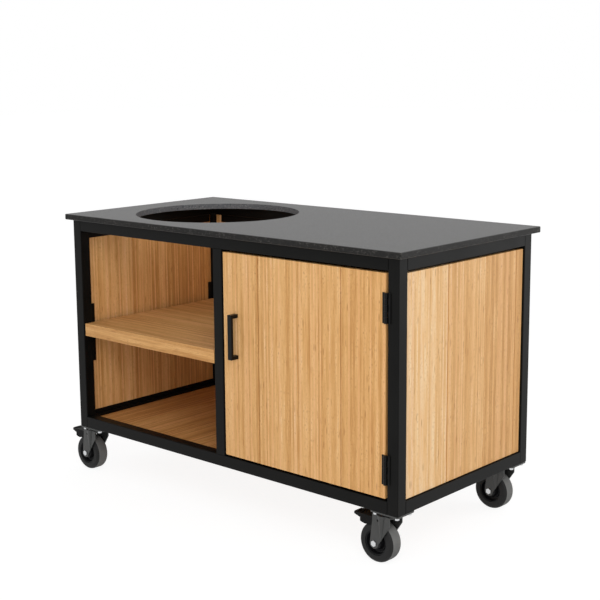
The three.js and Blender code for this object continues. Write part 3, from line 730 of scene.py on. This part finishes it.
# %% [markdown]
# ## Three finishes on one stone
# One piece can carry several materials: each face holds the number of the one it takes. The top
# keeps the first. A face on the hole's radius that looks inwards is its sawn wall, and any other
# face that stands more upright than flat is rubbed, as the slab's outer edges are.

# %% Worktop finishes
EDGE_FINISH, WALL_FINISH = 1, 2
WALL_MARGIN = 0.5 * MM
LOOKS_INWARDS = 0.9  # this and the next are shares of a face's normal, from nought to one
LOOKS_UP = 0.6

finish_piece(slab, "worktop_slab", "frame", [granite_top, granite_edge, granite_sawn], ["worktop"])
for face in slab.data.polygons:
    inward = (hole_centre - face.center).xy
    on_wall = inward.length < HOLE_RADIUS + WALL_MARGIN
    if on_wall and face.normal.xy.dot(inward.normalized()) > LOOKS_INWARDS:
        face.material_index = WALL_FINISH
    elif abs(face.normal.z) < LOOKS_UP:
        face.material_index = EDGE_FINISH
wall_faces = [face for face in slab.data.polygons if face.material_index == WALL_FINISH]
print("sawn faces:", len(wall_faces))


# %% [markdown]
# ## Door hardware
# The handle is a flat bar with a foot at each end, and the hinges are steel with a knuckled
# barrel in front of the frame. Small radii are enough: the parts are black, and only their
# edges show.

# %% Handle and hinges
HANDLE_EDGE = 1.2 * MM
LEAF_EDGE = 0.4 * MM
KNUCKLE_EDGE = 0.3 * MM

eased("door_handle", "door_handle_bar", enamel_black, HANDLE_EDGE, segments=3)
for level in ("upper", "lower"):
    leaf, knuckles = f"hinge_{level}_leaf", f"hinge_{level}_knuckles"
    eased(leaf, leaf + "_steel", enamel_black, LEAF_EDGE)
    eased(knuckles, knuckles + "_steel", enamel_black, KNUCKLE_EDGE)
print("hardware dressed")


# %% [markdown]
# ## Turned shapes
# A wheel and its tyre are turned shapes, so both start as a drum of ninety-six sides lying
# along Y, the axle's direction. Both of its ends are inset step by step, each step a little
# nearer to the axle and further in or out along it, until only the bore is left, and a bridge
# between the two ends opens it.

# %% Hollowing a drum
WHEEL_SIDES = 96
ALONG_Y = (math.pi / 2, 0, 0)
TURNED_SMOOTH = math.radians(35)


def hollow(blank, steps):
    """Insets both ends of a drum by steps and bridges the hole where the last ones end."""
    only(blank)
    bpy.ops.object.mode_set(mode="EDIT")
    bpy.ops.mesh.select_mode(type="FACE")
    bpy.ops.mesh.select_all(action="DESELECT")
    mesh = bmesh.from_edit_mesh(blank.data)
    for face in mesh.faces:
        face.select_set(len(face.verts) == WHEEL_SIDES)
    bmesh.update_edit_mesh(blank.data)
    for inset, depth in steps:
        bpy.ops.mesh.inset(thickness=inset, depth=depth, use_even_offset=False)
    bpy.ops.mesh.bridge_edge_loops()
    bpy.ops.mesh.select_all(action="SELECT")
    bpy.ops.mesh.normals_make_consistent(inside=False)
    bpy.ops.object.mode_set(mode="OBJECT")


print("a drum has", WHEEL_SIDES, "sides")


# %% [markdown]
# ## The tyre
# The tyre is solid rubber, moulded with round shoulders, here a wide bevel of eight segments.
# Its sides are clean, and the tread has a paler material of its own: dust, and a painted highlight
# where the lamps fall on it. One tyre is modelled about the origin, and each caster gets a copy of it.

# %% Tyre
TYRE_CROWN = 12 * MM
CROWN_SEGMENTS = 8
TYRE_SEAT = 39.6 * MM
TREAD_FINISH = 1
TREAD_LEAN = 0.35  # the largest share along the axle in the normal of a face on the tread


def make_tyre():
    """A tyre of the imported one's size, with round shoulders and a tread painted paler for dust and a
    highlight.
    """
    low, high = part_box("caster_front_left_tyre")
    radius = (high.z - low.z) / 2
    tyre = drum(WHEEL_SIDES, radius, high.y - low.y, (0, 0, 0), ALONG_Y)
    round_edges(tyre, TYRE_CROWN, CROWN_SEGMENTS)
    hollow(tyre, [(radius - TYRE_CROWN - TYRE_SEAT, 0)])
    bpy.ops.object.shade_smooth_by_angle(angle=TURNED_SMOOTH)
    tyre.data.materials.append(tyre_rubber)
    tyre.data.materials.append(tread_dust_and_highlight)
    # the tread's faces take the paler material: dust, and a painted highlight
    for face in tyre.data.polygons:
        if abs(face.normal.y) < TREAD_LEAN and face.center.length > TYRE_SEAT + TYRE_CROWN:
            face.material_index = TREAD_FINISH
    return tyre


tyre_pattern = make_tyre()
print("tyre faces:", len(tyre_pattern.data.polygons))


# %% [markdown]
# ## The wheel
# The wheel is moulded in one piece: a rim that the tyre sits on, a thin web with a ring on it,
# and a long hub with a sunk edge round the bolt. Each step below is how far it goes towards
# the axle and how far out along it, from the seat of the tyre to the bore. This too is modelled
# once, about the origin.

# %% Wheel
WHEEL_SEAT = 39.2 * MM
WHEEL_WIDTH = 46 * MM
WHEEL_EDGE = 0.7 * MM
WHEEL_STEPS = [
    (3.0 * MM, 0),  # the rim's edge
    (1.2 * MM, -16.5 * MM),  # its wall
    (3.0 * MM, -1.5 * MM),  # its foot
    (4.0 * MM, 0),  # the web
    (1.0 * MM, 6.0 * MM),  # a ring on the web
    (2.0 * MM, 0),
    (1.0 * MM, -6.0 * MM),
    (1.0 * MM, 0),
    (3.0 * MM, 2.5 * MM),  # the hub's foot
    (1.5 * MM, 17.5 * MM),  # its wall
    (6.0 * MM, 2.0 * MM),  # its face
    (1.0 * MM, -3.0 * MM),  # a sunk edge round the bolt
    (5.2 * MM, 0),
]


def make_wheel():
    """A wheel core with its rim, a web with a ring on it, and its hub."""
    wheel = drum(WHEEL_SIDES, WHEEL_SEAT, WHEEL_WIDTH, (0, 0, 0), ALONG_Y)
    hollow(wheel, WHEEL_STEPS)
    round_edges(wheel, WHEEL_EDGE)
    bpy.ops.object.shade_smooth_by_angle(angle=TURNED_SMOOTH)
    wheel.data.materials.append(wheel_moulding)
    return wheel


wheel_pattern = make_wheel()
print("wheel faces:", len(wheel_pattern.data.polygons))


# %% [markdown]
# ## Casters
# Each caster takes a copy of the tyre and the wheel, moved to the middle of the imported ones. The
# plate, the fork and the pedal are pressed steel, and the axle is a plated bolt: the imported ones
# have their full shape, and only need their edges eased.

# %% Casters
CORNERS = ("front_left", "front_right", "rear_left", "rear_right")
PRESSED_STEEL = (("plate", powder_grey), ("fork", powder_grey), ("pedal", pedal_black))
PRESSED_EDGE = 0.7 * MM
BOLT_EDGE = 0.6 * MM


def copy_at(pattern, name, place):
    """A copy of a pattern piece with its own mesh, moved to a place in its mesh."""
    obj = bpy.data.objects.new(name, pattern.data.copy())
    bpy.context.scene.collection.objects.link(obj)
    only(obj)
    obj.location = place
    bpy.ops.object.transform_apply(location=True, rotation=True, scale=True)
    return obj


def dress_caster(corner):
    """Dresses the six pieces of one caster."""
    for part, shape, pattern in (("tyre", "tread", tyre_pattern), ("wheel", "core", wheel_pattern)):
        node_name = f"caster_{corner}_{part}"
        name = f"{node_name}_{shape}"
        low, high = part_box(node_name)
        turned = copy_at(pattern, name, (low + high) / 2)
        finish_piece(turned, name, body_of(node_name), node_names=[node_name])
    eased(f"caster_{corner}_axle", f"caster_{corner}_axle_bolt", bright_zinc, BOLT_EDGE)
    for part, coat in PRESSED_STEEL:
        name = f"caster_{corner}_{part}"
        eased(name, name + "_steel", coat, PRESSED_EDGE, smooth=50, whole_faces=False)


for corner in CORNERS:
    dress_caster(corner)
bpy.data.objects.remove(tyre_pattern)
bpy.data.objects.remove(wheel_pattern)
print("casters dressed")


# %% [markdown]
# ## Small fasteners
# Four bolts hold each caster plate: their heads lie on the gusset inside the tube, and only the
# nut and washer under the plate show, bright against the dark steel. One nut is modelled from
# three primitives, and the others are copies of it with their own mesh.

# %% Nuts
NUT_SIDES = 6
NUT_ACROSS = 13 * MM
NUT_HEIGHT = 6.5 * MM
WASHER_SIDES = 32
WASHER_RADIUS = 8 * MM
WASHER_HEIGHT = 1.6 * MM
STUD_SIDES = 24
STUD_RADIUS = 4 * MM
STUD_BELOW = 6.7 * MM
PLATE_THICKNESS = 5 * MM
HOLE_INSET = 12.5 * MM


def make_nut():
    """A hexagon nut on its washer with the bolt's end below it, hanging from the origin."""
    nut_top = -WASHER_HEIGHT
    pieces = [
        drum(WASHER_SIDES, WASHER_RADIUS, WASHER_HEIGHT, (0, 0, -WASHER_HEIGHT / 2)),
        drum(NUT_SIDES, NUT_ACROSS / math.sqrt(3), NUT_HEIGHT, (0, 0, nut_top - NUT_HEIGHT / 2)),
        drum(STUD_SIDES, STUD_RADIUS, STUD_BELOW, (0, 0, nut_top - STUD_BELOW / 2)),
    ]
    for piece in pieces:
        round_edges(piece, BOLT_EDGE)
    nut = joined(pieces)
    bpy.ops.object.shade_smooth_by_angle(angle=math.radians(30))
    nut.data.materials.append(bright_zinc)
    return nut


nut_pattern = make_nut()
inset = Vector((HOLE_INSET, HOLE_INSET, 0))
for corner in CORNERS:
    plate_low, plate_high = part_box(f"caster_{corner}_plate")
    near, far = plate_low + inset, plate_high - inset
    spots = [(x, y, plate_high.z - PLATE_THICKNESS) for x in (near.x, far.x) for y in (near.y, far.y)]
    for number, spot in enumerate(spots, start=1):
        name = f"caster_{corner}_nut_{number}"
        finish_piece(copy_at(nut_pattern, name, spot), name, "frame")
bpy.data.objects.remove(nut_pattern)
print("nuts placed")


# %% [markdown]
# ## The room
# The picture is a product shot: an even, pale room with no hard shadow. The world is white to
# the camera and to reflections, and lights the object at a plain level.

# %% World
WHITE = (1, 1, 1, 1)
ROOM_STRENGTH = 0.55

bpy.context.scene.view_settings.view_transform = "Standard"


def seen_directly(tree):
    """One for rays from the camera or off a glossy surface, and nought for the light that they find."""
    rays = node(tree, "LightPath").outputs
    return node(tree, "Math", {0: rays["Is Camera Ray"], 1: rays["Is Glossy Ray"]}, operation="MAXIMUM")


def make_world():
    """A white room that lights the object less than it shows."""
    world = bpy.data.worlds.new("white_room")
    bpy.context.scene.world = world
    world.use_nodes = True
    tree = world.node_tree
    tree.nodes.clear()
    room = node(tree, "Background", {"Color": WHITE, "Strength": ROOM_STRENGTH})
    white = node(tree, "Background", {"Color": WHITE, "Strength": 1.0})
    both = node(tree, "MixShader", {0: seen_directly(tree), 1: room, 2: white})
    node(tree, "OutputWorld", {"Surface": both})


make_world()
print("the room lights the object at", ROOM_STRENGTH)


# %% [markdown]
# ## The floor
# The floor is pale and dull. The camera and reflections see a white glow mixed into it, so it
# ends in the white backdrop, and only a soft shadow is left under the table.

# %% Floor
FLOOR_SIDE = 60
FLOOR_GLOW = 1.22
FLOOR_GLOW_SHARE = 0.72


def make_floor():
    """A pale, dull floor with a glow that only the camera and reflections see."""
    bpy.ops.object.select_all(action="DESELECT")
    bpy.ops.mesh.primitive_plane_add(size=FLOOR_SIDE, location=(0, 0, 0))
    floor = bpy.context.object
    floor.name = "studio_floor"
    material, tree, surface = new_material("pale_floor")
    fill(surface, {"Base Color": linear("e6e6e6"), "Roughness": 0.9, "Specular IOR Level": 0.1})
    glow = node(tree, "Emission", {"Color": WHITE, "Strength": FLOOR_GLOW})
    share = node(tree, "Math", {0: seen_directly(tree), 1: FLOOR_GLOW_SHARE}, operation="MULTIPLY")
    both = node(tree, "MixShader", {0: share, 1: surface, 2: glow})
    fill(tree.nodes["Material Output"], {"Surface": both})
    floor.data.materials.append(material)


make_floor()
print("the floor is", FLOOR_SIDE, "m wide")


# %% [markdown]
# ## The lamps
# A large soft lamp above on the right makes the side lighter than the front, a low one in
# front reaches into the open bay, and one behind on the right gives the grey sheen on the
# stone. Only the first and the last are mirrored in glossy surfaces.

# %% Lamps
def area_lamp(name, place, target, size, power, mirrored=False):
    """A square soft lamp at a place, aimed at a target, and seen in reflections if mirrored."""
    data = bpy.data.lights.new(name, "AREA")
    data.size = size
    data.energy = power
    lamp = bpy.data.objects.new(name, data)
    bpy.context.scene.collection.objects.link(lamp)
    lamp.location = place
    lamp.rotation_mode = "QUATERNION"
    lamp.rotation_quaternion = (Vector(target) - Vector(place)).to_track_quat("-Z", "Y")
    lamp.visible_glossy = mirrored


TABLE = (0, 0, 0.4)
CUPBOARD = (0.5, 0, 0.5)
area_lamp("key", place=(3.3, -3.0, 3.2), target=TABLE, size=2.2, power=62, mirrored=True)
area_lamp("low_front", place=(2.0, -4.4, 0.45), target=TABLE, size=2.2, power=60)
area_lamp("right_glow", place=(3.6, 3.4, 1.6), target=CUPBOARD, size=3.0, power=48, mirrored=True)
print("lamps:", len(bpy.data.lights))
